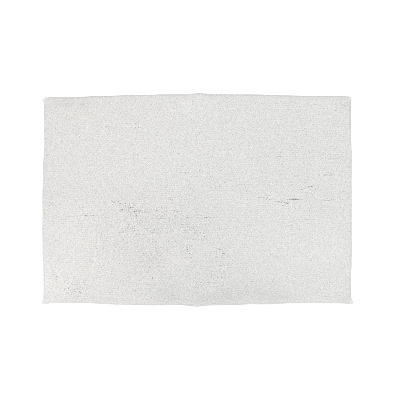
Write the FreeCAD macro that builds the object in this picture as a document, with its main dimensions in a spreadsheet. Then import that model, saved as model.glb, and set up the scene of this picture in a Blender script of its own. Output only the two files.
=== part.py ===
import FreeCAD, Part
import os
import Sketcher

# Tufted cotton bath mat, lying flat on the floor.
# Frame: millimetres, +Z up, +X along the mat's length, +Y across it.
# Origin: middle of the underside, on the floor.

doc = FreeCAD.newDocument("bath_mat")

# ---------------------------------------------------------------- driving dimensions

DRIVING_SIZES = [
    ("mat_length", 904.0),       # between the folds of the two end hems
    ("mat_width", 614.0),        # between the folds of the two long hems
    ("cloth_thickness", 0.9),    # one ply of canvas, also one turned ply and the back coat
    ("hem_width", 18.0),         # turned ply, from its fold to its inner edge
    ("ear_reach", 2.8),          # how far a long hem's ends stand past the end hems
    ("ear_height", 3.0),         # gathered plies at the corners
    ("ear_width", 13.0),         # along the end hem, from the long hem's fold
    ("ear_tip_start", 2.6),      # flat of the ear's tip, from the long hem's fold
    ("ear_tip_end", 5.85),
    ("pile_height", 13.2),       # cut yarn, above the ground cloth
    ("pile_margin", 3.0),        # bare hem outside the outermost tufts
    ("row_count", 102),          # needle rows across the width
    ("rows_per_node", 3),
    ("row_gap", 0.5),            # between the feet of neighbouring rows
    ("seam_row", 2),             # the long seams run in the gap after this row
    ("thread_diameter", 0.45),
    ("stitch_groove", 0.5),      # width that a stitch pulls into the cloth
    ("coat_gap", 1.0),           # between the hem's inner edge and the back coat
    ("label_length", 45.0),
    ("label_width", 30.0),
    ("label_thickness", 0.3),
    ("label_offset", 300.0),     # label's middle, from the mat's middle along the back hem
]


def make_sheet():
    """Spreadsheet of the driving dimensions, one alias a row."""
    sheet = doc.addObject("Spreadsheet::Sheet", "Sizes")
    for row, (alias, number) in enumerate(DRIVING_SIZES, start=1):
        sheet.set(f"A{row}", alias)
        sheet.set(f"B{row}", str(number))
        sheet.setAlias(f"B{row}", alias)
    doc.recompute()
    return sheet


sizes = make_sheet()

# Rules: expressions of the sheet that several sub-parts share.
HALF_LENGTH = "(Sizes.mat_length / 2)"
HALF_WIDTH = "(Sizes.mat_width / 2)"
PLY = "Sizes.cloth_thickness"
CLOTH_TOP = "(2 * Sizes.cloth_thickness)"
ROW_PITCH = "((Sizes.mat_width - 2 * Sizes.pile_margin) / Sizes.row_count)"
ROW_WIDTH = f"({ROW_PITCH} - Sizes.row_gap)"
SEAM_INSET = f"(Sizes.pile_margin + Sizes.seam_row * {ROW_PITCH})"
END_HEM_LENGTH = "(Sizes.mat_width - 2 * Sizes.hem_width)"
LONG_SEAM = f"(Sizes.mat_length - 2 * {SEAM_INSET})"
COAT_LENGTH = "(Sizes.mat_length - 2 * Sizes.hem_width - 2 * Sizes.coat_gap)"
COAT_WIDTH = "(Sizes.mat_width - 2 * Sizes.hem_width - 2 * Sizes.coat_gap)"


def value(rule):
    """Number that a rule works out to."""
    return float(sizes.evalExpression(rule))


# ---------------------------------------------------------------- helpers

def new_body(label):
    """Empty body whose label names the sub-part. It may hold several separate solids."""
    body = doc.addObject("PartDesign::Body", label)
    body.Label = label
    body.AllowCompound = True
    return body


def new_sketch(body, role, name):
    """Sketch on one of the body's own origin planes."""
    sketch = body.newObject("Sketcher::SketchObject", name)
    plane = next(item for item in body.Origin.OriginFeatures if item.Role == role)
    sketch.AttachmentSupport = [(plane, "")]
    sketch.MapMode = "FlatFace"
    return sketch


def pin(sketch, geometry, point, kind, rule, name):
    """Bind one coordinate of a sketch point to a rule."""
    sketch.addConstraint(Sketcher.Constraint(kind, -1, 1, geometry, point, value(rule)))
    index = sketch.ConstraintCount - 1
    sketch.renameConstraint(index, name)
    sketch.setExpression(f"Constraints.{name}", rule)


def outline(sketch, corners, half_rounds=(), tag="p"):
    """Closed outline through corners, each a pair of rules, in order round the outline.

    The edge that leaves a corner listed in half_rounds is a half circle, bulging outwards on an
    outline that runs anticlockwise. Every other edge is straight.
    """
    points = [FreeCAD.Vector(value(x), value(y), 0) for x, y in corners]
    edges = []
    for number, start in enumerate(points):
        end = points[(number + 1) % len(points)]
        if number in half_rounds:
            middle = (start + end) / 2
            chord = end - start
            bulge = FreeCAD.Vector(chord.y, -chord.x, 0) / 2
            edges.append(sketch.addGeometry(Part.Arc(start, middle + bulge, end)))
        else:
            edges.append(sketch.addGeometry(Part.LineSegment(start, end)))
    for number, edge in enumerate(edges):
        following = edges[(number + 1) % len(edges)]
        sketch.addConstraint(Sketcher.Constraint("Coincident", edge, 2, following, 1))
    for number, edge in enumerate(edges):
        x_rule, y_rule = corners[number]
        pin(sketch, edge, 1, "DistanceX", x_rule, f"{tag}{number}x")
        pin(sketch, edge, 1, "DistanceY", y_rule, f"{tag}{number}y")
    for number in half_rounds:
        next_x, next_y = corners[(number + 1) % len(corners)]
        x_rule, y_rule = corners[number]
        if abs(value(x_rule) - value(next_x)) < abs(value(y_rule) - value(next_y)):
            pin(sketch, edges[number], 3, "DistanceX", x_rule, f"{tag}{number}centre")
        else:
            pin(sketch, edges[number], 3, "DistanceY", y_rule, f"{tag}{number}centre")


def centred_rectangle(sketch, length_rule, width_rule, tag="p"):
    """Rectangle round the sketch's origin."""
    x = f"({length_rule} / 2)"
    y = f"({width_rule} / 2)"
    outline(sketch, [(f"-{x}", f"-{y}"), (x, f"-{y}"), (x, y), (f"-{x}", y)], tag=tag)


def pad(body, sketch, length_rule, name, both_sides=False):
    """Pad of a sketch, along its normal or half to each side."""
    feature = body.newObject("PartDesign::Pad", name)
    feature.Profile = sketch
    feature.setExpression("Length", length_rule)
    feature.Midplane = both_sides
    sketch.Visibility = False
    return feature


def place(part, x_rule=None, y_rule=None, z_rule=None, turn=0.0, axis=(0, 0, 1)):
    """Turn a sub-part about an axis, then bind its position to rules."""
    part.Placement = FreeCAD.Placement(
        FreeCAD.Vector(0, 0, 0), FreeCAD.Rotation(FreeCAD.Vector(*axis), turn))
    for letter, rule in (("x", x_rule), ("y", y_rule), ("z", z_rule)):
        if rule is not None:
            part.setExpression(f"Placement.Base.{letter}", rule)


# ---------------------------------------------------------------- cloth, coat and label

def make_ground_cloth():
    """Canvas panel inside the hem folds, with a ring that the needle stitches pull into."""
    body = new_body("ground_cloth")
    panel = new_sketch(body, "XY_Plane", "panel_outline")
    centred_rectangle(panel, f"(Sizes.mat_length - 2 * {PLY})", f"(Sizes.mat_width - 2 * {PLY})")
    pad(body, panel, PLY, "panel")
    ring = new_sketch(body, "XY_Plane", "stitch_ring")
    ring.setExpression("AttachmentOffset.Base.z", PLY)
    for tag, change in (("outer", "+"), ("inner", "-")):
        centred_rectangle(
            ring,
            f"(Sizes.mat_length - 2 * {SEAM_INSET} {change} Sizes.stitch_groove)",
            f"(Sizes.mat_width - 2 * {SEAM_INSET} {change} Sizes.stitch_groove)",
            tag=tag)
    groove = body.newObject("PartDesign::Pocket", "stitch_groove_cut")
    groove.Profile = ring
    groove.setExpression("Length", "Sizes.thread_diameter")
    ring.Visibility = False
    place(body, z_rule=PLY)
    return body


def make_nonslip_coat():
    """Latex coat on the back, inside the hems, left open where the care label lies."""
    body = new_body("nonslip_coat")
    sheet = new_sketch(body, "XY_Plane", "coat_outline")
    x = f"({COAT_LENGTH} / 2)"
    y = f"({COAT_WIDTH} / 2)"
    label_left = "(-Sizes.label_offset - Sizes.label_length / 2 - Sizes.coat_gap)"
    label_right = "(-Sizes.label_offset + Sizes.label_length / 2 + Sizes.coat_gap)"
    label_end = f"({HALF_WIDTH} - Sizes.hem_width - Sizes.label_width - Sizes.coat_gap)"
    outline(sheet, [
        (f"-{x}", f"-{y}"),
        (x, f"-{y}"),
        (x, y),
        (label_right, y),
        (label_right, label_end),
        (label_left, label_end),
        (label_left, y),
        (f"-{x}", y),
    ])
    pad(body, sheet, PLY, "coat")
    return body


def make_care_label():
    """Blank woven label flat against the cloth's back, its sewn end at the back hem."""
    label = doc.addObject("Part::Box", "care_label")
    label.Label = "care_label"
    label.setExpression("Length", "Sizes.label_length")
    label.setExpression("Width", "Sizes.label_width")
    label.setExpression("Height", "Sizes.label_thickness")
    place(
        label,
        x_rule="-Sizes.label_offset - Sizes.label_length / 2",
        y_rule=f"{HALF_WIDTH} - Sizes.hem_width - Sizes.label_width",
        z_rule=f"{PLY} - Sizes.label_thickness")
    return label


# ---------------------------------------------------------------- hems

def hem_section(sketch):
    """Turned hem: half-round fold outside, turned ply below the cloth, groove for the bobbin thread.

    The fold is at zero, and the sketch's first axis runs towards the middle of the mat.
    """
    groove = "(Sizes.stitch_groove / 2)"
    inner_round = "(Sizes.hem_width - Sizes.cloth_thickness / 2)"
    outline(sketch, [
        (PLY, CLOTH_TOP),
        (PLY, "0"),
        (f"({SEAM_INSET} - {groove})", "0"),
        (f"({SEAM_INSET} - {groove})", "Sizes.thread_diameter"),
        (f"({SEAM_INSET} + {groove})", "Sizes.thread_diameter"),
        (f"({SEAM_INSET} + {groove})", "0"),
        (inner_round, "0"),
        (inner_round, PLY),
        (PLY, PLY),
    ], half_rounds=(0, 6))


def make_long_hem(label, y_rule, turn):
    """Hem along the mat's length. Its gathered ends stand past the end hems as ears."""
    body = new_body(label)
    section = new_sketch(body, "YZ_Plane", "hem_section")
    hem_section(section)
    pad(body, section, f"(Sizes.mat_length - 2 * {PLY})", "hem_strip", both_sides=True)
    plan = new_sketch(body, "XY_Plane", "ear_outline")
    start = f"({HALF_LENGTH} - {PLY})"
    tip = f"({HALF_LENGTH} + Sizes.ear_reach)"
    outline(plan, [
        (start, "0"),
        (HALF_LENGTH, "0"),
        (tip, "Sizes.ear_tip_start"),
        (tip, "Sizes.ear_tip_end"),
        (HALF_LENGTH, "Sizes.ear_width"),
        (HALF_LENGTH, "Sizes.hem_width"),
        (start, "Sizes.hem_width"),
    ])
    ear = pad(body, plan, "Sizes.ear_height", "ear")
    other_ear = body.newObject("PartDesign::Mirrored", "other_ear")
    other_ear.Originals = [ear]
    middle = next(item for item in body.Origin.OriginFeatures if item.Role == "YZ_Plane")
    other_ear.MirrorPlane = (middle, [""])
    body.Tip = other_ear
    place(body, y_rule=y_rule, turn=turn)
    return body


def make_end_hem(label, x_rule, turn):
    """Hem across the mat, between the two long hems."""
    body = new_body(label)
    section = new_sketch(body, "YZ_Plane", "hem_section")
    hem_section(section)
    pad(body, section, END_HEM_LENGTH, "hem_strip", both_sides=True)
    place(body, x_rule=x_rule, turn=turn)
    return body


# ---------------------------------------------------------------- seam threads

def make_thread(label, length_rule, across, x_rule, y_rule, z_rule):
    """One seam's thread, straight, in the groove that its stitches pull."""
    thread = doc.addObject("Part::Cylinder", label)
    thread.Label = label
    thread.setExpression("Radius", "Sizes.thread_diameter / 2")
    thread.setExpression("Height", length_rule)
    axis = (-1, 0, 0) if across else (0, 1, 0)
    place(thread, x_rule=x_rule, y_rule=y_rule, z_rule=z_rule, turn=90.0, axis=axis)
    return thread


def make_seam_threads():
    """Needle thread above and bobbin thread below, along each of the four hems."""
    heights = {
        "needle_thread": f"{CLOTH_TOP} - Sizes.thread_diameter / 2",
        "bobbin_thread": "Sizes.thread_diameter / 2",
    }
    threads = []
    for kind, z_rule in heights.items():
        for side, sign in (("front", "-"), ("back", "")):
            threads.append(make_thread(
                f"{kind}_{side}", LONG_SEAM, False,
                x_rule=f"-{LONG_SEAM} / 2",
                y_rule=f"{sign}({HALF_WIDTH} - {SEAM_INSET})",
                z_rule=z_rule))
        for side, sign in (("left", "-"), ("right", "")):
            threads.append(make_thread(
                f"{kind}_{side}", END_HEM_LENGTH, True,
                x_rule=f"{sign}({HALF_LENGTH} - {SEAM_INSET})",
                y_rule=f"-{END_HEM_LENGTH} / 2",
                z_rule=z_rule))
    return threads


# ---------------------------------------------------------------- pile

def make_pile_rows(number):
    """Three needle rows side by side, each a round-topped ridge the length of the pile."""
    body = new_body(f"pile_rows_{number + 1:02d}")
    section = new_sketch(body, "YZ_Plane", "row_section")
    side = f"({ROW_WIDTH} / 2)"
    shoulder = f"(Sizes.pile_height - {side})"
    outline(section, [
        (f"-{side}", "0"),
        (side, "0"),
        (side, shoulder),
        (f"-{side}", shoulder),
    ], half_rounds=(2,))
    row = pad(body, section, "(Sizes.mat_length - 2 * Sizes.pile_margin)", "row", both_sides=True)
    rows = body.newObject("PartDesign::LinearPattern", "rows")
    rows.Originals = [row]
    rows.Direction = (section, ["H_Axis"])
    rows.setExpression("Occurrences", "Sizes.rows_per_node")
    rows.setExpression("Length", f"{ROW_PITCH} * (Sizes.rows_per_node - 1)")
    body.Tip = rows
    place(
        body,
        y_rule=f"-{HALF_WIDTH} + Sizes.pile_margin + {ROW_PITCH} * ({number} * Sizes.rows_per_node + 0.5)",
        z_rule=CLOTH_TOP)
    return body


# ---------------------------------------------------------------- assembly

def make_mat():
    """Every sub-part of the mat, from the back up."""
    parts = [make_ground_cloth(), make_nonslip_coat(), make_care_label()]
    parts.append(make_long_hem("hem_front", f"-{HALF_WIDTH}", 0.0))
    parts.append(make_long_hem("hem_back", HALF_WIDTH, 180.0))
    parts.append(make_end_hem("hem_left", f"-{HALF_LENGTH}", -90.0))
    parts.append(make_end_hem("hem_right", HALF_LENGTH, 90.0))
    parts.extend(make_seam_threads())
    node_count = int(value("Sizes.row_count / Sizes.rows_per_node"))
    parts.extend(make_pile_rows(number) for number in range(node_count))
    return parts


def check_document():
    """Stop if any object failed to recompute."""
    for item in doc.Objects:
        if "Invalid" in item.State or "Error" in item.State:
            raise RuntimeError(f"{item.Label} failed: {item.State}")


def write_parts(parts):
    """Check each sub-part's shape and write it to its own STEP file."""
    for part in parts:
        if part.Shape.isNull() or not part.Shape.isValid() or not part.Shape.Solids:
            raise RuntimeError(f"{part.Label} has no valid solid")
    os.makedirs("parts", exist_ok=True)
    for part in parts:
        part.Shape.exportStep(f"parts/{part.Label}.step")
        print(f"{part.Label}: {len(part.Shape.Solids)} solid(s), {part.Shape.Volume / 1000:.2f} cm3")


mat_parts = make_mat()
doc.recompute()
check_document()
write_parts(mat_parts)
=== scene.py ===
import math

import bpy
import numpy as np
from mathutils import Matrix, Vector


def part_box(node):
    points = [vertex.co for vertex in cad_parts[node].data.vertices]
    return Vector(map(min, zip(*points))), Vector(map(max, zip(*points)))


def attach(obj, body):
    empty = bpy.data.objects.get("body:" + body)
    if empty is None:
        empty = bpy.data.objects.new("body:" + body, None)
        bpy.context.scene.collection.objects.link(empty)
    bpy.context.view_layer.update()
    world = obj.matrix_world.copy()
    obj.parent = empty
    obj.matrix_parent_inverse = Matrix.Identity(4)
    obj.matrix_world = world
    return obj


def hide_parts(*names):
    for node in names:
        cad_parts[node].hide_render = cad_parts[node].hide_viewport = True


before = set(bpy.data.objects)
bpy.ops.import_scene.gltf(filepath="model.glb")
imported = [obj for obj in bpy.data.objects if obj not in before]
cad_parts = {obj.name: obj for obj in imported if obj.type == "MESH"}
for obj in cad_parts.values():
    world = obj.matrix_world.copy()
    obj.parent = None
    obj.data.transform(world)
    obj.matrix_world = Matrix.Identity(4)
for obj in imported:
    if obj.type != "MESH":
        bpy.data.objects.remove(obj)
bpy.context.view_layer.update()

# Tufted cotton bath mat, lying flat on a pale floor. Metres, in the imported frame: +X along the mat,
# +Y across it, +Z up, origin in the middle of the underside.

MM = 0.001

# ---------------------------------------------------------------- measures, from the frame

END_HEM_LOW, END_HEM_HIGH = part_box("hem_left")
LONG_HEM_LOW, LONG_HEM_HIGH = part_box("hem_front")
CLOTH_LOW, CLOTH_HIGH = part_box("ground_cloth")
COAT_LOW, COAT_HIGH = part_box("nonslip_coat")
LABEL_LOW, LABEL_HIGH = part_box("care_label")
THREAD_LOW, THREAD_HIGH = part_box("needle_thread_front")
PILE_NODES = sorted(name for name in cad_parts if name.startswith("pile_rows_"))
ROWS_LOW, ROWS_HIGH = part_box(PILE_NODES[0])

HALF_LENGTH = -END_HEM_LOW.x
HALF_WIDTH = -LONG_HEM_LOW.y
HEM_WIDTH = END_HEM_HIGH.x - END_HEM_LOW.x
CLOTH_TOP = CLOTH_HIGH.z
PILE_HEIGHT = ROWS_HIGH.z - CLOTH_TOP
PILE_HALF_LENGTH = ROWS_HIGH.x
ROWS_PER_NODE = 3
ROW_PITCH = (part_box(PILE_NODES[1])[0].y - ROWS_LOW.y) / ROWS_PER_NODE
FIRST_ROW = (ROWS_LOW.y + ROWS_HIGH.y) / 2 - ROW_PITCH
ROW_COUNT = ROWS_PER_NODE * len(PILE_NODES)
SEAM_INSET = HALF_WIDTH + (THREAD_LOW.y + THREAD_HIGH.y) / 2
THREAD = THREAD_HIGH.z - THREAD_LOW.z
STITCH_LENGTH = 4.5 * MM


# ---------------------------------------------------------------- seeded fields

def smooth_noise(x, y, wavelength, seed):
    """Random field over the plan, from -1 to 1, that changes over about one wavelength."""
    reach = 0.6                  # of the lattice, either side of the mat's middle
    size = int(2 * reach / wavelength) + 4
    lattice = np.random.default_rng(seed).uniform(-1, 1, (size, size))
    column = (x + reach) / wavelength
    row = (y + reach) / wavelength
    i = np.floor(column).astype(int)
    j = np.floor(row).astype(int)
    a = column - i
    b = row - j
    a = a * a * (3 - 2 * a)
    b = b * b * (3 - 2 * b)
    low = lattice[i, j] * (1 - a) + lattice[i + 1, j] * a
    high = lattice[i, j + 1] * (1 - a) + lattice[i + 1, j + 1] * a
    return low * (1 - b) + high * b


def bell(distance, width):
    """Smooth bump: 1 at distance 0, about a third at one width, nothing beyond two and a half."""
    return np.exp(-(distance / width) ** 2)


def ramp(value, start, end):
    """0 before start, 1 after end, smooth between them."""
    share = np.clip((value - start) / (end - start), 0, 1)
    return share * share * (3 - 2 * share)


def window(value, low, high, soft):
    """1 between low and high, easing to 0 over soft on each side."""
    return ramp(value, low - soft, low + soft) * (1 - ramp(value, high - soft, high + soft))


def sum_of_spots(spots, x, y):
    """Field made of soft spots, each in millimetres: its middle, its reach both ways, its strength."""
    total = np.zeros_like(x)
    for middle_x, middle_y, reach_x, reach_y, strength in spots:
        spread = np.hypot((x / MM - middle_x) / reach_x, (y / MM - middle_y) / reach_y)
        total = total + strength * bell(spread, 1.0)
    return total


# ---------------------------------------------------------------- how the mat lies

# Storage fold across the middle: where its ridge lies, how wide and how high it stands.
CREASE_X = -3 * MM
CREASE_REACH = 16 * MM
CREASE_RISE = 1.6 * MM
# Bulge of a long side where the crease runs out: from the ridge, reach, how far out.
CREASE_BULGES = {
    "front": (0.0, 32 * MM, 2.9 * MM),
    "back": (6 * MM, 22 * MM, 3.4 * MM),
}
# Swells of the cloth, in millimetres: x, y, reach along, reach across, rise.
SWELLS = [
    (-400, 200, 120, 100, 1.6),
    (-300, -200, 140, 90, 2.0),
    (-120, 60, 100, 120, 1.8),
    (90, -190, 140, 80, 2.6),
    (220, 160, 150, 100, 1.5),
    (340, -120, 120, 100, 1.8),
    (200, 20, 130, 30, 1.8),
    (-430, -280, 50, 60, 1.6),
]
# How far each side lies outside its cut line, in millimetres: at its low end, then each change along it
# as from, to, by.
SIDE_LINES = {
    "left": (-0.7, [(-215, -145, 3.5), (-5, 35, -1.2), (80, 170, -4.9)]),
    "right": (-3.6, [(-225, -190, 3.1), (140, 185, -2.7)]),
    "front": (-2.9, [(-345, -215, 6.4), (112, 152, -2.9), (190, 235, -1.0), (240, 268, -2.1)]),
    "back": (-7.4, [(-345, -300, 2.9), (-258, -215, 2.9), (-135, -110, 2.0), (180, 210, -2.2),
                    (240, 320, -3.0), (395, 450, -0.9)]),
}
SIDE_WANDER = 0.4            # millimetres either way that chance adds to that


def side_line(side, place, seed):
    """How far a side lies outside its cut line at places along it."""
    start, changes = SIDE_LINES[side]
    total = start + SIDE_WANDER * smooth_noise(place, 0 * place, 50 * MM, seed)
    for low, high, change in changes:
        total = total + change * ramp(place / MM, low, high)
    return total * MM


def crease_bulge(side, x):
    """How far the crease pushes a long side out at places along it."""
    offset, reach, out = CREASE_BULGES[side]
    return out * bell(x - CREASE_X - offset, reach)


def lay(x, y):
    """Where a point of the flat cut lies: plan position and rise off the floor."""
    left = side_line("left", y, 9)
    right = side_line("right", y, 10)
    front = side_line("front", x, 11) + crease_bulge("front", x)
    back = side_line("back", x, 12) + crease_bulge("back", x)
    plan_x = x + np.where(x < 0, left, right) * x / HALF_LENGTH
    plan_y = y + np.where(y < 0, front, back) * y / HALF_WIDTH
    return plan_x, plan_y, rise(plan_x, plan_y)


def rise(x, y):
    """Height of the cloth's underside off the floor."""
    flatter_in_the_middle = 1 - 0.35 * np.cos(9 * y)
    crease = CREASE_RISE * bell(x - CREASE_X, CREASE_REACH) * flatter_in_the_middle
    return crease + MM * sum_of_spots(SWELLS, x, y)


# ---------------------------------------------------------------- how the pile leans

# Partings in the pile, in millimetres: from x, y, to x, y, how far the tips draw apart to each side.
PARTINGS = [
    (263, 69, 307, 69, 1.5),
    (345, 73, 410, 73, 1.5),
    (292, 27, 345, 40, 1.5),
    (208, 27, 233, 27, 1.6),
    (170, 9, 214, 0, 2.1),
    (226, -6, 268, -11, 2.1),
    (260, 0, 310, -1, 2.2),
    (350, -2, 406, -2, 1.7),
    (278, -32, 336, -32, 1.5),
    (36, 33, 56, 33, 1.7),
    (-190, -35, -150, -32, 1.7),
    (-140, -32, -60, -34, 1.7),
    (-252, -8, -220, -8, 1.3),
    (-445, 10, -414, 10, 1.6),
    (-418, -124, -398, -118, 1.4),
    (-286, 210, -252, 216, 1.3),
    (-404, -51, -350, -51, 1.6),
    (-340, -47, -260, -47, 1.3),
    (219, 124, 245, 124, 1.1),
    (248, 110, 278, 109, 1.1),
    (-440, 85, -405, 85, 1.1),
    (-452, 132, -425, 128, 1.2),
    (10, -52, 60, -52, 1.1),
    (-12, 305, -11, 272, 1.8),
]
# Ruffled places, in millimetres: x, y, reach along, reach across, how ruffled. Below 0 is combed smooth.
RUFFLES = [
    (-190, -50, 180, 120, 0.4),
    (-210, -236, 200, 60, 0.4),
    (-377, -250, 60, 40, 0.6),
    (330, -190, 120, 110, -0.75),
    (-211, -24, 26, 16, 1.0),
    (-178, -40, 22, 26, 0.9),
    (-204, -90, 14, 22, 1.2),
    (-101, -48, 26, 18, 0.9),
    (-131, -90, 14, 26, 1.0),
    (-160, 13, 30, 16, 0.6),
    (-131, -170, 50, 40, 0.5),
    (-30, -70, 60, 30, 0.5),
    (2, -102, 28, 18, 0.8),
    (-24, -148, 14, 24, 1.1),
    (73, -148, 14, 26, 1.3),
    (68, -215, 12, 50, 0.8),
    (5, -238, 20, 18, 0.9),
    (52, 31, 20, 14, 0.9),
    (44, 112, 16, 14, 0.7),
    (195, 9, 22, 12, 0.9),
    (250, -8, 34, 10, 0.8),
    (308, 26, 30, 12, 0.5),
    (128, 58, 34, 16, 0.4),
    (-21, 60, 40, 24, 0.4),
    (-427, 6, 20, 26, 0.8),
    (-365, 42, 26, 16, 0.5),
    (-401, 174, 50, 20, 0.5),
    (-270, 208, 24, 16, 0.7),
    (-182, 218, 22, 16, 0.6),
    (-6, 200, 34, 16, 0.7),
    (374, 236, 30, 16, 0.7),
    (429, 278, 22, 20, 0.9),
    (-357, -265, 30, 16, 1.1),
    (-413, -225, 14, 20, 1.0),
    (334, -229, 26, 18, 0.4),
    (422, -268, 20, 16, 0.5),
]
# Patches of painted light (above 0) and painted shade (below 0) in the pile's colour, in millimetres: x, y,
# reach along, reach across, shade.
LIGHT_AND_SHADE_SPOTS = [
    (45, -292, 60, 26, -1.0),
    (-90, -276, 50, 34, -0.8),
    (150, -272, 90, 34, -0.8),
    (246, -290, 50, 18, -0.6),
    (20, -210, 160, 60, -0.4),
    (-70, -70, 140, 80, -0.35),
    (-141, -165, 60, 50, -0.4),
    (-379, 286, 70, 14, -0.7),
    (429, 284, 24, 18, -0.6),
    (436, -296, 16, 14, -0.7),
    (-409, -250, 50, 60, 0.7),
    (-360, -130, 90, 140, 0.45),
    (-282, -215, 50, 60, 0.2),
    (330, -140, 120, 70, 0.25),
    (400, -170, 50, 70, 0.15),
    (-445, -210, 14, 90, 0.8),
    (-21, 269, 34, 30, 0.4),
    (-72, -180, 34, 24, 0.4),
    (-150, 130, 260, 80, 0.15),
    (260, 150, 160, 110, -0.15),
]
# Stretches of hem that the pile leaves bare, in millimetres: side, from, to, how much further back.
BARE_HEMS = [
    ("back", -450, -340, 2.5),
    ("right", 200, 300, 2.0),
    ("left", -300, -170, 2.0),
    ("front", 30, 440, 1.2),
]
# Stretches where the fold's painted shade is stronger, or below 0 weaker, in millimetres: side, from, to,
# change.
HEM_FOLD_SHADING = [
    ("left", -310, -130, -0.6),
    ("left", -130, 0, -0.3),
    ("left", 100, 300, 0.4),
    ("right", 215, 300, 0.9),
    ("right", -300, -235, 0.3),
    ("back", -450, -140, 0.3),
    ("back", -372, -255, 0.2),
    ("back", 290, 450, 0.4),
    ("front", -430, -200, -0.2),
    ("front", -190, 150, 0.7),
    ("front", 150, 440, 0.2),
]
RIM_PUSH = 4.0               # millimetres that the pile stands back from every hem
RIM_REACH = 14 * MM          # how far in from the side that goes
FOOT_PUSH = 0.45             # share of the rim's push that the feet take, the rest is lean
# Drift of the tips in patches: wavelength in metres, reach in millimetres.
DRIFTS = ((0.16, 1.3), (0.05, 0.9), (0.018, 0.45))
ROW_LEAN = 0.9 * MM          # how far a needle row strays to either side, changing along it
ROW_STRETCH = 0.3            # how much slower a row's own chances change along it than across
PARTING_REACH = 9            # millimetres beside a parting that its pull is felt


def stretches(table, side, along, soft):
    """Sum of a table's changes at places along one side, each easing in and out over soft millimetres."""
    total = 0 * along
    for changed_side, low, high, change in table:
        if changed_side == side:
            total = total + change * window(along / MM, low, high, soft)
    return total


def fold_shade_along(side, along):
    """How strong the painted shade on a side's fold is at places along it."""
    return 0.5 + stretches(HEM_FOLD_SHADING, side, along, 15)


def inset(x, y):
    """How far in from the nearest side a point of the cut is."""
    return np.minimum(HALF_LENGTH - abs(x), HALF_WIDTH - abs(y))


def rim_push(x, y):
    """How far the pile at the rim stands back from the hem, further where the hem is bare."""
    rims = {
        "left": (-1, 0, HALF_LENGTH + x, y),
        "right": (1, 0, HALF_LENGTH - x, y),
        "front": (0, -1, HALF_WIDTH + y, x),
        "back": (0, 1, HALF_WIDTH - y, x),
    }
    push_x = np.zeros_like(x)
    push_y = np.zeros_like(x)
    for side, (out_x, out_y, depth_in, along) in rims.items():
        push = (RIM_PUSH + stretches(BARE_HEMS, side, along, 20)) * bell(depth_in, RIM_REACH) * MM
        push_x = push_x - out_x * push
        push_y = push_y - out_y * push
    return push_x, push_y


def lean(x, y):
    """How far a tuft's tip stands from over its foot."""
    push_x, push_y = rim_push(x, y)
    lean_x = (1 - FOOT_PUSH) * push_x
    lean_y = (1 - FOOT_PUSH) * push_y
    for number, (wavelength, reach) in enumerate(DRIFTS):
        lean_x = lean_x + reach * MM * smooth_noise(x, y, wavelength, 20 + number)
        lean_y = lean_y + reach * MM * smooth_noise(x, y, wavelength, 30 + number)
    more_to_the_right = 1 + 0.4 * x / HALF_LENGTH
    lean_y = lean_y + ROW_LEAN * more_to_the_right * smooth_noise(ROW_STRETCH * x, y, ROW_PITCH, 40)
    uneven = 0.8 + 0.5 * smooth_noise(x, y, 12 * MM, 41)
    for start_x, start_y, end_x, end_y, draw in PARTINGS:
        length = math.hypot(end_x - start_x, end_y - start_y)
        run_x, run_y = (end_x - start_x) / length, (end_y - start_y) / length
        from_x, from_y = x / MM - start_x, y / MM - start_y
        along = window(from_x * run_x + from_y * run_y, 0, length, 6)
        offset = from_y * run_x - from_x * run_y
        push = draw * MM * uneven * along * np.sign(offset) * bell(offset, PARTING_REACH)
        lean_x = lean_x - push * run_y
        lean_y = lean_y + push * run_x
    return lean_x, lean_y


# ---------------------------------------------------------------- meshes

MOST_SMOOTH_CORNERS = 5      # faces with more corners are flat ends


def new_piece(name, points, face_sets, material, attributes=None):
    """Mesh object from an array of points and arrays of faces, each array with its own corner count."""
    corners = np.concatenate([faces.ravel() for faces in face_sets]).astype(np.int32)
    sizes = np.concatenate([np.full(len(faces), faces.shape[1]) for faces in face_sets])
    starts = (np.cumsum(sizes) - sizes).astype(np.int32)
    mesh = bpy.data.meshes.new(name)
    mesh.vertices.add(len(points))
    mesh.vertices.foreach_set("co", np.asarray(points, np.float32).ravel())
    mesh.loops.add(len(corners))
    mesh.loops.foreach_set("vertex_index", corners)
    mesh.polygons.add(len(sizes))
    mesh.polygons.foreach_set("loop_start", starts)
    mesh.update(calc_edges=True)
    mesh.validate()
    mesh.polygons.foreach_set("use_smooth", sizes <= MOST_SMOOTH_CORNERS)
    for key, values in (attributes or {}).items():
        layer = mesh.attributes.new(key, "FLOAT", "POINT")
        layer.data.foreach_set("value", np.asarray(values, np.float32).ravel())
    mesh.materials.append(material)
    piece = bpy.data.objects.new(name, mesh)
    bpy.context.scene.collection.objects.link(piece)
    return piece


def grid_faces(columns, rows, wrap_rows=False):
    """Quads over a columns by rows array of points, stored column by column."""
    i, j = np.meshgrid(np.arange(columns - 1), np.arange(rows if wrap_rows else rows - 1), indexing="ij")
    next_j = (j + 1) % rows
    corners = [i * rows + j, (i + 1) * rows + j, (i + 1) * rows + next_j, i * rows + next_j]
    return np.stack(corners, -1).reshape(-1, 4)


def tube_faces(rings, sides, copies=1):
    """Face sets of closed tubes whose points are stored ring by ring, tube after tube."""
    walls = grid_faces(rings, sides, wrap_rows=True)[:, ::-1]
    foot = np.arange(sides)[None, ::-1]
    tip = np.arange(sides)[None] + (rings - 1) * sides
    steps = (rings * sides * np.arange(copies))[:, None, None]
    return [(steps + single[None]).reshape(-1, single.shape[1]) for single in (walls, foot, tip)]


def settle(piece, slot_name, *nodes):
    """The piece rides on the mat and stands for its nodes, which are hidden; the slot name is not used."""
    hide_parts(*nodes)
    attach(piece, "root")


# ---------------------------------------------------------------- materials

def new_material(name):
    """New node material: itself, its node tree and its Principled shader."""
    material = bpy.data.materials.new(name)
    material.use_nodes = True
    tree = material.node_tree
    shader = tree.nodes["Principled BSDF"]
    shader.inputs["Specular IOR Level"].default_value = 0.25
    return material, tree, shader


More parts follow.
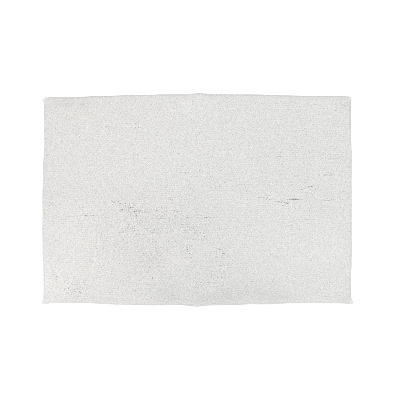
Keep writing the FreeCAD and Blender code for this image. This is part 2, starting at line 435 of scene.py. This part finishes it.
def add_node(tree, kind, links=None, **settings):
    """New node: links are input name to output socket, settings are properties or input values."""
    node = tree.nodes.new(kind)
    for name, value in settings.items():
        if hasattr(node, name):
            setattr(node, name, value)
        else:
            node.inputs[name.replace("_", " ").title()].default_value = value
    for name, socket in (links or {}).items():
        tree.links.new(socket, node.inputs[name])
    return node


def colour_between(tree, factor, low, high, start=0.0, end=1.0):
    """Colour ramp from low to high over a factor socket."""
    node = add_node(tree, "ShaderNodeValToRGB", {"Fac": factor})
    stops = node.color_ramp.elements
    stops[0].position = start
    stops[0].color = (*low, 1)
    stops[1].position = end
    stops[1].color = (*high, 1)
    return node.outputs["Color"]


def product(tree, first, *others):
    """Colour sockets multiplied together."""
    for other in others:
        node = add_node(tree, "ShaderNodeMix", data_type="RGBA", blend_type="MULTIPLY")
        factor, colour_a, colour_b = node.inputs[0], node.inputs[6], node.inputs[7]
        factor.default_value = 1.0
        tree.links.new(first, colour_a)
        tree.links.new(other, colour_b)
        first = node.outputs[2]
    return first


def attribute(tree, name, output="Fac"):
    """Socket with one of the mesh's own attributes."""
    return add_node(tree, "ShaderNodeAttribute", attribute_name=name).outputs[output]


def add_bump(tree, shader, height, strength, distance):
    """Bump from a height socket."""
    bump = add_node(tree, "ShaderNodeBump", {"Height": height}, strength=strength, distance=distance)
    tree.links.new(bump.outputs["Normal"], shader.inputs["Normal"])


def vary_roughness(tree, shader, factor, low, high):
    """Roughness from low to high over a factor socket."""
    node = add_node(tree, "ShaderNodeMapRange", {"Value": factor})
    node.inputs["To Min"].default_value = low
    node.inputs["To Max"].default_value = high
    tree.links.new(node.outputs[0], shader.inputs["Roughness"])


def place_socket(tree):
    """Object coordinates, in metres from the mat's middle."""
    return add_node(tree, "ShaderNodeTexCoord").outputs["Object"]


def noise(tree, place, wavelength, detail=2.0, roughness=0.5):
    """Noise factor that changes over about one wavelength, in metres."""
    node = add_node(tree, "ShaderNodeTexNoise", {"Vector": place}, scale=1 / wavelength, detail=detail,
                    roughness=roughness)
    return node.outputs["Fac"]


def pile_material():
    """Off-white cut cotton: tone from tuft to tuft, warmer towards the foot, patches of painted light and
    shade, painted shade at the hems, fine fibre.
    """
    material, tree, shader = new_material("cotton_pile")
    place = place_socket(tree)
    tone, height = attribute(tree, "tuft_tone"), attribute(tree, "tuft_height")
    yarn = colour_between(tree, tone, (0.791, 0.791, 0.790), (0.954, 0.954, 0.953))
    foot = colour_between(tree, height, (1.0, 0.996, 0.99), (1, 1, 1), 0.1, 0.8)
    drawn_out_upwards = add_node(tree, "ShaderNodeMapping", {"Vector": place})
    drawn_out_upwards.inputs["Scale"].default_value = (1.0, 1.0, 0.3)
    fuzz = noise(tree, drawn_out_upwards.outputs["Vector"], 0.8 * MM, 3.0)
    fibre = colour_between(tree, fuzz, (0.96, 0.96, 0.957), (1, 1, 1), 0.3, 0.7)
    along = add_node(tree, "ShaderNodeSeparateXYZ", {"Vector": place}).outputs["X"]
    side = add_node(tree, "ShaderNodeMapRange", {"Value": along})
    side.inputs["From Min"].default_value = -0.3
    side.inputs["From Max"].default_value = 0.3
    patch = colour_between(tree, side.outputs[0], (1.0, 0.994, 0.978), (0.995, 0.995, 0.992))
    # Painted light and shade: patches of the pile lighter or darker in colour, and darker at the hems.
    painted_light_and_shade = attribute(tree, "tuft_painted_light_and_shade", "Color")
    tree.links.new(product(tree, yarn, foot, painted_light_and_shade, fibre, patch), shader.inputs["Base Color"])
    vary_roughness(tree, shader, fuzz, 0.8, 1.0)
    add_bump(tree, shader, fuzz, 0.35, 0.3 * MM)
    shader.inputs["Sheen Weight"].default_value = 0.25
    shader.inputs["Sheen Roughness"].default_value = 0.5
    return material


def weave_material(name, low, high, thread_pitch, depth):
    """Plain weave: threads over and under each other both ways, uneven yarn, folds darkened by painted
    shade where they turn down.
    """
    material, tree, shader = new_material(name)
    place = place_socket(tree)
    axes = add_node(tree, "ShaderNodeSeparateXYZ", {"Vector": place})
    waves = []
    for axis in ("X", "Y"):
        turns = add_node(tree, "ShaderNodeMath", {0: axes.outputs[axis]}, operation="MULTIPLY")
        turns.inputs[1].default_value = math.pi / thread_pitch
        waves.append(add_node(tree, "ShaderNodeMath", {0: turns.outputs[0]}, operation="SINE").outputs[0])
    over = add_node(tree, "ShaderNodeMath", {0: waves[0], 1: waves[1]}, operation="MULTIPLY").outputs[0]
    fibre = noise(tree, place, 0.6 * MM, 3.0)
    height = add_node(tree, "ShaderNodeMath", {0: over, 1: fibre}, operation="ADD").outputs[0]
    cloth = colour_between(tree, height, low, high, 0.0, 1.4)
    patch = colour_between(tree, noise(tree, place, 0.09), (0.965, 0.96, 0.95), (1.0, 1.0, 1.0), 0.35, 0.65)
    # Painted shade: the colour is darkened along the hem's fold, where its outer side turns down away from
    # the light.
    fold_shade = colour_between(tree, attribute(tree, "painted_fold_shade"), (1, 1, 1), (0.74, 0.737, 0.733))
    tree.links.new(product(tree, cloth, patch, fold_shade), shader.inputs["Base Color"])
    vary_roughness(tree, shader, fibre, 0.78, 0.98)
    add_bump(tree, shader, height, 0.6, depth)
    return material


def latex_material():
    """Matte latex with a pebbled skin."""
    material, tree, shader = new_material("latex_coat")
    place = place_socket(tree)
    pebbles = noise(tree, place, 2.5 * MM, 4.0, 0.6)
    colour = colour_between(tree, pebbles, (0.58, 0.56, 0.50), (0.70, 0.68, 0.62), 0.3, 0.7)
    tree.links.new(colour, shader.inputs["Base Color"])
    vary_roughness(tree, shader, pebbles, 0.5, 0.75)
    add_bump(tree, shader, pebbles, 0.5, 0.3 * MM)
    return material


def floor_material():
    """Plain pale floor, with the least variation of a studio sweep."""
    material, tree, shader = new_material("pale_floor")
    place = place_socket(tree)
    colour = colour_between(tree, noise(tree, place, 0.5), (0.90, 0.90, 0.90), (0.92, 0.92, 0.92))
    tree.links.new(colour, shader.inputs["Base Color"])
    shader.inputs["Emission Color"].default_value = (1, 1, 1, 1)
    shader.inputs["Emission Strength"].default_value = 0.25
    return material


COTTON = pile_material()
CANVAS = weave_material("cotton_canvas", (0.76, 0.755, 0.745), (0.93, 0.925, 0.915), 1.1 * MM, 0.25 * MM)
THREAD_SPUN = weave_material("sewing_thread", (0.74, 0.74, 0.72), (0.86, 0.86, 0.84), 0.35 * MM, 0.08 * MM)
LABEL_TAPE = weave_material("label_tape", (0.82, 0.82, 0.81), (0.90, 0.90, 0.90), 0.4 * MM, 0.05 * MM)
LATEX = latex_material()


# ---------------------------------------------------------------- pile

TUFT_SPACING = 4.2 * MM
LEG_OFFSET = 0.21            # of the row pitch, either side of the needle line
# The yarn below: share of the pile's height, radius.
YARN_LEVELS = np.array([0.0, 0.92])
YARN_RADII = np.array([2.0, 3.1]) * MM
YARN_SIDES = 5
# The cut ends above it: share of the pile's height, radius.
END_LEVELS = np.array([0.42, 0.90, 1.0])
END_RADII = np.array([1.0, 1.5, 1.0]) * MM
END_SIDES = 4
ENDS_PER_LEG = 3
END_SPREAD = 1.8 * MM
GOLDEN_TURN = 2.4            # angle from one cut end to the next round the yarn
STRAND_BEND = 1.6            # how late a strand leans: 1 is straight, more bends towards the tip
STRAND_TWIST = 1.2           # radians from foot to tip
CUT_LENGTH = 0.92            # usual length of a leg, as a share of the pile's height
RIM_DROP = 0.14              # how much shorter the pile is cut at the hems
FAN_RISE = 0.025             # how far the longest cut end stands over its leg, of the pile's height
FAN_DROP = 0.05              # how much lower the shortest one stands
MIDDLE_TONE = 0.565
LIGHT_AND_SHADE_STRENGTH = 0.075        # brightness that a full patch of painted light or shade adds or takes away
RIM_PAINTED_SHADE = 0.045            # painted shade: brightness taken off the pile's colour at the hems
# Chance from tuft to tuft: where the pile is calm, how much a ruffle of 1 adds, the least it may be.
STRAY = (0.16, 0.6, 0.05)            # of the tips sideways, in millimetres
UNEVENNESS = (0.014, 0.014, 0.004)   # of the legs' length, as a share of the pile's height
CONTRAST = (0.3, 0.6, 0.1)           # of the yarn's tone


def tuft_feet():
    """Foot of every tuft leg in the cut, and its needle row: the legs stand zigzag along the row."""
    random = np.random.default_rng(5)
    count = 2 * int(2 * PILE_HALF_LENGTH / TUFT_SPACING)
    rows = np.repeat(np.arange(ROW_COUNT), count)
    leg = np.tile(np.arange(count), ROW_COUNT)
    stagger = random.uniform(-0.5, 0.5, ROW_COUNT)[rows] * TUFT_SPACING
    x = ((leg + 0.5) / count * 2 - 1) * PILE_HALF_LENGTH + stagger
    x = x + random.normal(0, 0.10, len(x)) * TUFT_SPACING
    side = np.where(leg % 2 == 0, -1, 1) * LEG_OFFSET + random.normal(0, 0.05, len(x))
    y = FIRST_ROW + (rows + side) * ROW_PITCH
    last = PILE_HALF_LENGTH - 1.5 * MM
    return np.clip(x, -last, last), y, rows


def swept(foot, reach, levels, radii, sides, start_angle):
    """Rings of points up a leaning strand: foot and reach are (..., 3), reach from foot to tip."""
    level = levels[:, None]
    angle = start_angle[..., None, None] + 2 * math.pi * np.arange(sides) / sides + STRAND_TWIST * level
    curve = level ** STRAND_BEND
    rings = np.empty(foot.shape[:-1] + (len(levels), sides, 3))
    for axis, wave in ((0, np.cos(angle)), (1, np.sin(angle))):
        centre = foot[..., axis, None, None] + reach[..., axis, None, None] * curve
        rings[..., axis] = centre + radii[..., :, None] * wave
    rings[..., 2] = foot[..., 2, None, None] + reach[..., 2, None, None] * level
    return rings


def loosened(ruffled, calm, added, least):
    """Chance that grows where the pile is ruffled and shrinks where it is combed smooth."""
    return np.maximum(calm + added * ruffled, least)


def tufts(x, y):
    """Rings of every leg's yarn, and of its cut ends, which fan out over its neighbours."""
    random = np.random.default_rng(6)
    count = len(x)
    push_x, push_y = rim_push(x, y)
    plan_x, plan_y, lift = lay(x + FOOT_PUSH * push_x, y + FOOT_PUSH * push_y)
    lean_x, lean_y = lean(x, y)
    ruffled = sum_of_spots(RUFFLES, x, y)
    stray = loosened(ruffled, *STRAY) * MM
    lean_x = lean_x + random.normal(0, 1, count) * stray
    lean_y = lean_y + random.normal(0, 1, count) * stray
    uneven = 0.01 * smooth_noise(x, y, 0.03, 42) + 0.015 * smooth_noise(ROW_STRETCH * x, y, ROW_PITCH, 43)
    uneven = uneven + random.normal(0, 1, count) * loosened(ruffled, *UNEVENNESS)
    length = PILE_HEIGHT * (CUT_LENGTH + uneven) * (1 - RIM_DROP * bell(inset(x, y), 8 * MM))
    height = np.sqrt(np.maximum(length ** 2 - lean_x ** 2 - lean_y ** 2, (0.5 * length) ** 2))
    foot = np.stack([plan_x, plan_y, lift + CLOTH_TOP], -1)
    reach = np.stack([lean_x, lean_y, height], -1)
    girth = random.uniform(0.9, 1.1, (count, 1)) * (1.05 - 0.06 * ruffled)[:, None]
    yarn = swept(foot, reach, YARN_LEVELS, girth * YARN_RADII, YARN_SIDES, random.uniform(0, 6.3, count))

    many = (count, ENDS_PER_LEG)
    number = np.arange(ENDS_PER_LEG)
    angle = random.uniform(0, 2 * math.pi, (count, 1)) + number * GOLDEN_TURN
    spread = END_SPREAD * girth * np.sqrt((number + 0.5) / ENDS_PER_LEG) * random.uniform(0.8, 1.2, many)
    fan = np.stack([
        spread * np.cos(angle),
        spread * np.sin(angle),
        (FAN_RISE - FAN_DROP * random.uniform(0, 1, many) ** 2) * PILE_HEIGHT,
    ], -1)
    end_foot = np.repeat(foot[:, None], ENDS_PER_LEG, 1)
    end_reach = reach[:, None] + fan
    end_radii = END_RADII * random.uniform(0.85, 1.15, (*many, 1))
    ends = swept(end_foot, end_reach, END_LEVELS, end_radii, END_SIDES, random.uniform(0, 6.3, many))
    return yarn, ends


def make_pile():
    """One piece of cut tufts for each pile node, three needle rows each."""
    x, y, rows = tuft_feet()
    yarn, ends = tufts(x, y)
    random = np.random.default_rng(7)
    tone = random.uniform(-0.5, 0.5, len(x))
    contrast = loosened(sum_of_spots(RUFFLES, x, y), *CONTRAST)
    end_tone = 0.25 * tone[:, None] + 0.75 * random.uniform(-0.5, 0.5, (len(x), ENDS_PER_LEG))
    tone = MIDDLE_TONE + contrast * tone
    end_tone = MIDDLE_TONE + contrast[:, None] * end_tone
    # Painted light and shade in the pile's colour: lighter or darker patches, darker at the hems.
    painted_light_and_shade = 1 + LIGHT_AND_SHADE_STRENGTH * sum_of_spots(LIGHT_AND_SHADE_SPOTS, x, y) - RIM_PAINTED_SHADE * bell(inset(x, y), RIM_REACH)
    yarn_points = len(YARN_LEVELS) * YARN_SIDES
    end_points = len(END_LEVELS) * END_SIDES
    for number, node in enumerate(PILE_NODES):
        mine = rows // ROWS_PER_NODE == number
        count = int(mine.sum())
        ends_here = count * ENDS_PER_LEG
        points = np.concatenate([yarn[mine].reshape(-1, 3), ends[mine].reshape(-1, 3)])
        faces = tube_faces(len(YARN_LEVELS), YARN_SIDES, count)
        faces += [part + count * yarn_points for part in tube_faces(len(END_LEVELS), END_SIDES, ends_here)]
        piece = new_piece(f"tufts_{number + 1:02d}", points, faces, COTTON, {
            "tuft_tone": np.concatenate([
                np.repeat(tone[mine], yarn_points), np.repeat(end_tone[mine].ravel(), end_points)]),
            "tuft_painted_light_and_shade": np.concatenate([
                np.repeat(painted_light_and_shade[mine], yarn_points), np.repeat(painted_light_and_shade[mine], ENDS_PER_LEG * end_points)]),
            "tuft_height": np.concatenate([
                np.tile(np.repeat(YARN_LEVELS, YARN_SIDES), count),
                np.tile(np.repeat(END_LEVELS, END_SIDES), ends_here)]),
        })
        settle(piece, "pile_yarn", node)


# ---------------------------------------------------------------- cloth, coat and label

def laid_slab(name, x_lines, y_lines, bottom, top, material, opening=None, skin=None):
    """Closed slab over the cells between lines of the cut, following how the mat lies.

    An opening is the low and high corners of a rectangle that holds no cells. A skin is a height added
    to the underside.
    """
    x, y = np.meshgrid(x_lines, y_lines, indexing="ij")
    plan_x, plan_y, lift = lay(x, y)
    under = bottom + lift
    if skin is not None:
        under = under + skin(x, y)
    faces = grid_faces(len(x_lines), len(y_lines))
    if opening is not None:
        (low_x, low_y), (high_x, high_y) = opening
        middle_x, middle_y = x.ravel()[faces].mean(1), y.ravel()[faces].mean(1)
        inside = (middle_x > low_x) & (middle_x < high_x) & (middle_y > low_y) & (middle_y < high_y)
        faces = faces[~inside]
    used, renumbered = np.unique(faces, return_inverse=True)
    faces = renumbered.reshape(-1, 4)
    upper_points = np.stack([plan_x, plan_y, top + lift], -1).reshape(-1, 3)[used]
    under_points = np.stack([plan_x, plan_y, under], -1).reshape(-1, 3)[used]
    count = len(used)
    edges = np.concatenate([faces[:, [corner, (corner + 1) % 4]] for corner in range(4)])
    forward = edges[:, 0] * count + edges[:, 1]
    backward = edges[:, 1] * count + edges[:, 0]
    start, end = edges[~np.isin(forward, backward)].T
    sides = np.stack([start + count, end + count, end, start], -1)
    points = np.concatenate([upper_points, under_points])
    return new_piece(name, points, [faces, faces[:, ::-1] + count, sides], material)


def lines(low, high, cell, *stops):
    """Evenly spaced grid lines from low to high, with further stops among them."""
    return np.unique([*np.linspace(low, high, int((high - low) / cell) + 1), *stops])


def make_ground_cloth():
    """Canvas panel, its edge just inside the hems' folds."""
    half_length, half_width = HALF_LENGTH - 2 * MM, HALF_WIDTH - 2 * MM
    piece = laid_slab(
        "ground_cloth_canvas", lines(-half_length, half_length, 8 * MM),
        lines(-half_width, half_width, 8 * MM), CLOTH_LOW.z, CLOTH_HIGH.z, CANVAS)
    settle(piece, "canvas", "ground_cloth")
    return piece


def make_coat():
    """Latex coat, brushed on inside the hems and left open round the label."""
    def pebbles(x, y):
        return 0.15 * MM * (1 + smooth_noise(x, y, 4 * MM, 51)) / 2
    gap = 1 * MM
    left, right, front = LABEL_LOW.x - gap, LABEL_HIGH.x + gap, LABEL_LOW.y - gap
    piece = laid_slab(
        "latex_back", lines(COAT_LOW.x, COAT_HIGH.x, 6 * MM, left, right),
        lines(COAT_LOW.y, COAT_HIGH.y, 6 * MM, front), COAT_LOW.z, COAT_HIGH.z, LATEX,
        ((left, front), (right, COAT_HIGH.y)), pebbles)
    settle(piece, "latex", "nonslip_coat")


def make_label():
    """Blank woven label flat against the cloth's back, its sewn end at the back hem."""
    piece = laid_slab(
        "label", lines(LABEL_LOW.x, LABEL_HIGH.x, 3 * MM), lines(LABEL_LOW.y, LABEL_HIGH.y, 3 * MM),
        LABEL_LOW.z, LABEL_HIGH.z, LABEL_TAPE)
    settle(piece, "label_weave", "care_label")


# ---------------------------------------------------------------- hems

# Cross-section of a turned hem, in millimetres: inset from the fold, height. The fold rolls up and over
# the cloth's edge, the turned ply runs back underneath it.
HEM_SECTION = np.array([
    (7.0, 1.75), (5.0, 2.25), (3.4, 2.75), (1.9, 2.85), (0.8, 2.45), (0.15, 1.75), (0.0, 1.1),
    (0.3, 0.45), (1.2, 0.05), (4.0, 0.0), (9.0, 0.0), (13.6, 0.02), (14.9, 0.30), (16.2, 0.02),
    (17.4, 0.05), (18.0, 0.45), (17.4, 0.86), (12.0, 0.88),
]) * MM
SECTION_MIDDLE = 1.2 * MM    # height about which the fold swells and closes
HEM_STEP = 1.5 * MM          # from one section to the next along the run
END_ROUND = 3 * MM           # length over which the hem closes at its ends
CUT_BACK_DEPTH = 6 * MM      # how far in a change of the fold's line is felt
FOLD_SHADE_REACH = 2.2 * MM        # how far in the fold's painted shade goes
# Corner flares, in millimetres: corner signs, middle of the pull from the cut's corner, reach, pull.
FLARES = [
    ((-1, -1), (2, 0), 14, (-6.0, 0.0, 0.4)),
    ((1, -1), (-3, 3), 13, (6.8, 0.0, 0.4)),
    ((1, -1), (-12, 0), 16, (0.0, -1.3, 0.0)),
]
# Each hem: turn of its run, half width across it, then for its start and its end how far the run stands
# past that corner, how long and how deep the fold is cut back there, and how far the turned ply's inner
# edge stands back from the end. Millimetres.
HEMS = {
    "front": (0.0, HALF_WIDTH, (-1.0, 5, 4, 0), (-1.0, 5, 4, 0)),
    "back": (math.pi, HALF_WIDTH, (0.5, 8, 5, 0), (6.0, 21, 7, 5)),
    "left": (-math.pi / 2, HALF_LENGTH, (-9.0, 5, 3, 0), (4.0, 3, 1, 2)),
    "right": (math.pi / 2, HALF_LENGTH, (2.2, 5, 3, 3), (-3.0, 6, 4, 0)),
}


def pull_flares(points):
    """Pull the hems out sideways at the front corners."""
    for (sign_x, sign_y), (offset_x, offset_y), reach, pull in FLARES:
        middle_x = sign_x * HALF_LENGTH + offset_x * MM
        middle_y = sign_y * HALF_WIDTH + offset_y * MM
        share = bell(np.hypot(points[..., 0] - middle_x, points[..., 1] - middle_y), reach * MM)
        for axis in range(3):
            points[..., axis] += share * pull[axis] * MM
    return points


def turned(local_x, local_y, turn):
    """Plan points of a side's own run and depth, turned to that side of the mat."""
    cosine, sine = math.cos(turn), math.sin(turn)
    return local_x * cosine - local_y * sine, local_x * sine + local_y * cosine


def make_hem(side, seed):
    """Turned hem swept along one side: rolled fold, pinched at each stitch, cut back at its ends."""
    turn, half_edge, *ends = HEMS[side]
    corner = HALF_LENGTH + HALF_WIDTH - half_edge
    start, end = (corner + reach * MM for reach, *_ in ends)
    run = np.linspace(-start, end, int((start + end) / HEM_STEP) + 1)
    depth_in, height = HEM_SECTION[:, 0], HEM_SECTION[:, 1]
    cut_back = 0 * run
    along = np.repeat(run[:, None], len(depth_in), 1)
    for way, from_end, (_, length, depth, stand_back) in zip((1, -1), (run + start, end - run), ends):
        cut_back = cut_back + depth * MM * np.clip(1 - from_end / (length * MM), 0, 1)
        near = bell(from_end, 12 * MM)[:, None] * ramp(depth_in, 8 * MM, 16 * MM)[None]
        along = along + way * stand_back * MM * near
    nearest_end = np.minimum(run + start, end - run)
    close = np.sqrt(1 - (1 - np.clip(nearest_end / END_ROUND, 0.02, 1)) ** 2)
    pinch = 1 - 0.05 * (0.5 + 0.5 * np.cos(2 * math.pi * run / STITCH_LENGTH))
    fat = 1 + 0.16 * smooth_noise(run, 0 * run, 20 * MM, seed)
    fat = fat + 0.10 * smooth_noise(run, 0 * run, 7 * MM, seed + 1)
    wander = 0.5 * MM * smooth_noise(run, 0 * run, 30 * MM, seed + 2)
    swell = (close * np.minimum(fat, 1.25) * pinch)[:, None]
    thickness = np.where(height[None] > SECTION_MIDDLE, swell, close[:, None])
    z = SECTION_MIDDLE + (height[None] - SECTION_MIDDLE) * thickness
    strayed = depth_in[None] + (wander + cut_back)[:, None] * np.exp(-depth_in[None] / CUT_BACK_DEPTH)
    x, y = turned(along, strayed - half_edge, turn)
    plan_x, plan_y, lift = lay(x, y)
    points = pull_flares(np.stack([plan_x, plan_y, z], -1))
    points[..., 2] += lift
    along_side = x if side in ("front", "back") else y
    # Painted shade along the fold's outer edge, stronger or weaker along each side.
    fold = bell(depth_in, FOLD_SHADE_REACH)[None] * fold_shade_along(side, along_side[:, :1])
    faces = tube_faces(len(run), len(depth_in))
    piece = new_piece(f"hem_{side}_canvas", points.reshape(-1, 3), faces, CANVAS, {"painted_fold_shade": fold})
    settle(piece, "canvas", f"hem_{side}")
    return piece


# ---------------------------------------------------------------- seams

STITCH_RINGS = 7
STITCH_SIDES = 6
STITCH_SHARE = 0.96          # of a stitch's length that its thread spans
STITCH_ARCH = 0.5            # of the thread's thickness, the rise from a stitch's ends to its middle
STITCH_SINK = 0.55           # of the thread's thickness, how deep the ends dip into the cloth
END_THINNING = 0.35          # how much thinner the thread is pulled at a stitch's ends


def make_stitches(name, node, half_run, half_edge, turn, level, up):
    """One seam's thread: an arched stitch after another, each dipping into the cloth at its ends."""
    count = int(2 * half_run / STITCH_LENGTH)
    middles = (np.arange(count) + 0.5) / count * 2 * half_run - half_run
    share = np.linspace(-0.5, 0.5, STITCH_RINGS)
    run = middles[:, None] + share[None] * STITCH_LENGTH * STITCH_SHARE
    arch = level + up * THREAD * (STITCH_ARCH * np.cos(math.pi * share) - STITCH_SINK)[None] + 0 * run
    angle = 2 * math.pi * np.arange(STITCH_SIDES) / STITCH_SIDES
    radius = THREAD / 2 * (1 - END_THINNING * (2 * np.abs(share)) ** 4)
    local_x = np.repeat(run[..., None], STITCH_SIDES, -1)
    local_y = SEAM_INSET - half_edge + radius[None, :, None] * np.cos(angle)[None, None] + 0 * local_x
    z = arch[..., None] + radius[None, :, None] * np.sin(angle)[None, None]
    plan_x, plan_y, lift = lay(*turned(local_x, local_y, turn))
    points = np.stack([plan_x, plan_y, z + lift], -1).reshape(-1, 3)
    piece = new_piece(name, points, tube_faces(STITCH_RINGS, STITCH_SIDES, count), THREAD_SPUN)
    settle(piece, "seam_thread", node)


def make_seams():
    """Needle stitches above and bobbin stitches below, along each of the four hems."""
    sides = {
        "front": (HALF_LENGTH - SEAM_INSET, HALF_WIDTH, 0.0),
        "back": (HALF_LENGTH - SEAM_INSET, HALF_WIDTH, math.pi),
        "left": (HALF_WIDTH - HEM_WIDTH, HALF_LENGTH, -math.pi / 2),
        "right": (HALF_WIDTH - HEM_WIDTH, HALF_LENGTH, math.pi / 2),
    }
    for side, (half_run, half_edge, turn) in sides.items():
        run = (half_run, half_edge, turn)
        make_stitches(f"needle_stitches_{side}", f"needle_thread_{side}", *run, CLOTH_TOP + 0.2 * MM, 1)
        make_stitches(f"bobbin_stitches_{side}", f"bobbin_thread_{side}", *run, 0.25 * MM, -1)


# ---------------------------------------------------------------- studio

def make_floor():
    """Level square of floor, far wider than the view."""
    half = 4.0
    points = np.array([(-half, -half, 0), (half, -half, 0), (half, half, 0), (-half, half, 0)])
    floor = new_piece("floor", points, [np.array([[0, 1, 2, 3]])], floor_material())


def make_light():
    """Soft sky all round and a broad soft lamp from beyond the front left corner."""
    scene = bpy.context.scene
    world = bpy.data.worlds.new("studio")
    scene.world = world
    world.use_nodes = True
    world.node_tree.nodes["Background"].inputs["Color"].default_value = (1, 1, 1, 1)
    world.node_tree.nodes["Background"].inputs["Strength"].default_value = 1.0
    lamp = bpy.data.lights.new("key", "SUN")
    lamp.energy = 0.3
    lamp.angle = math.radians(40)
    key = bpy.data.objects.new("key", lamp)
    key.rotation_euler = (math.radians(36), math.radians(-16), 0)
    scene.collection.objects.link(key)
    scene.view_settings.view_transform = "Standard"
    # The denoiser takes the tufts for noise and smooths them away, so sampling noise stays in the render.
    scene.cycles.use_denoising = False
    # As crisp as the photo's pixels allow.
    scene.cycles.pixel_filter_type = "BOX"


VIEW_WIDTH = 1.171           # of floor across the picture


def make_camera():
    """Straight above the mat, a little to the right of its middle."""
    data = bpy.data.cameras.new("camera")
    data.lens = 60
    data.sensor_width = 36
    camera = bpy.data.objects.new("camera", data)
    camera.location = (7 * MM, -2.3 * MM, VIEW_WIDTH * data.lens / data.sensor_width)
    bpy.context.scene.collection.objects.link(camera)
    bpy.context.scene.camera = camera


make_pile()
cloth = make_ground_cloth()
make_coat()
make_label()
hems = [make_hem(side, 61 + 3 * number) for number, side in enumerate(HEMS)]
make_seams()
make_floor()
make_light()
make_camera()
